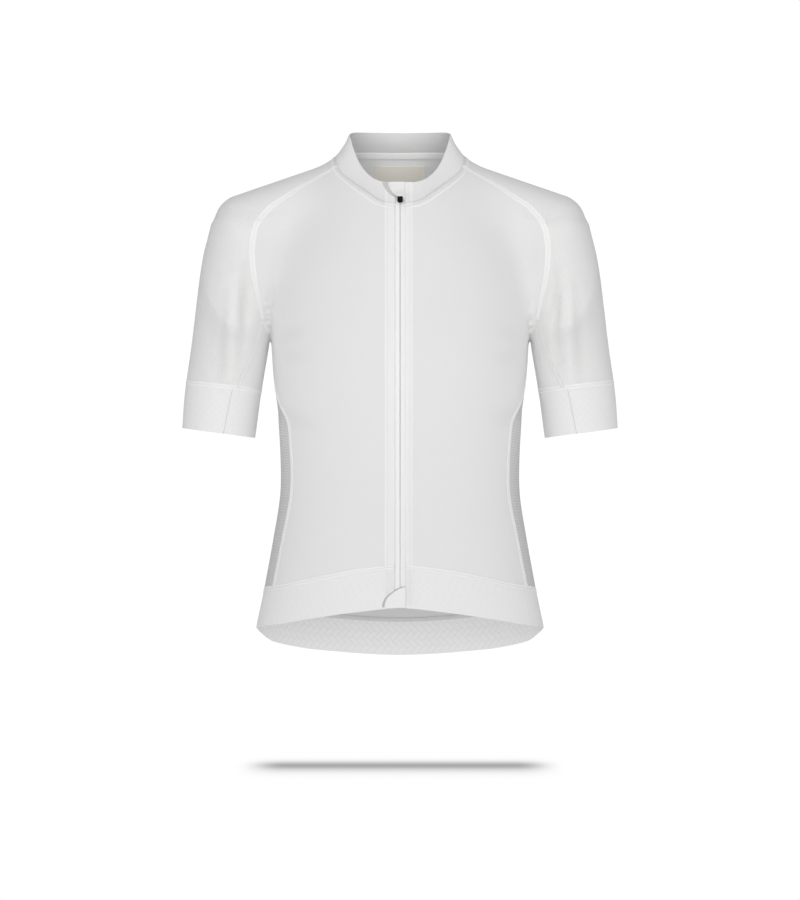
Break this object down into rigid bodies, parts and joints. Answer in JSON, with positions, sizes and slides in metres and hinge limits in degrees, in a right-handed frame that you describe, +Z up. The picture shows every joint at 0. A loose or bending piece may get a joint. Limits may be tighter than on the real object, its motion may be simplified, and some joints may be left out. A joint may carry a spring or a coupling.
{
  "type": "cycling jersey",
  "caption": "White short-sleeved raglan cycling jersey with a full zip, stand collar, mesh sides and wide elastic bands, in its worn, hollow form.",
  "frame": {"origin": "midway between the shoulders, level with the base of the neck", "axes": "-Y is the front of the jersey, +X is the wearer's left, +Z is up"},
  "size_m": [0.5232, 0.2261, 0.6425],
  "materials": {
    "white_knit": "matt fine warp knit",
    "side_mesh": "open mesh knit",
    "elastic_band": "ribbed elastic with a slanting weave",
    "collar_knit": "doubled fine knit with level ribs inside",
    "zip_tape": "smooth woven tape",
    "flap_cloth": "soft folded knit",
    "label_cloth": "smooth cream woven label",
    "black_hardware": "satin black"
  },
  "bodies": {
    "jersey": {"front_left": "white_knit", "front_right": "white_knit", "back": "white_knit", "sleeve_left": "white_knit", "sleeve_right": "white_knit", "back_pockets": "white_knit", "side_left": "side_mesh", "side_right": "side_mesh", "under_sleeve_left": "side_mesh", "under_sleeve_right": "side_mesh", "cuff_left": "elastic_band", "cuff_right": "elastic_band", "hem_band": "elastic_band", "collar": "collar_knit", "neck_tape": "zip_tape", "zip_tape_left": "zip_tape", "zip_tape_right": "zip_tape", "zip_garage": "flap_cloth", "zip_guard": "flap_cloth", "neck_label": "label_cloth", "zip_slider": "black_hardware"},
    "pull_tab": {"zip_pull": "black_hardware"}
  },
  "joints": [
    {"name": "pull_tab_lift", "type": "hinge", "parent": "jersey", "child": "pull_tab", "pos_m": [0, -0.07885, -0.04265], "axis": [-1, 0, 0], "range_deg": [0, 80]}
  ]
}
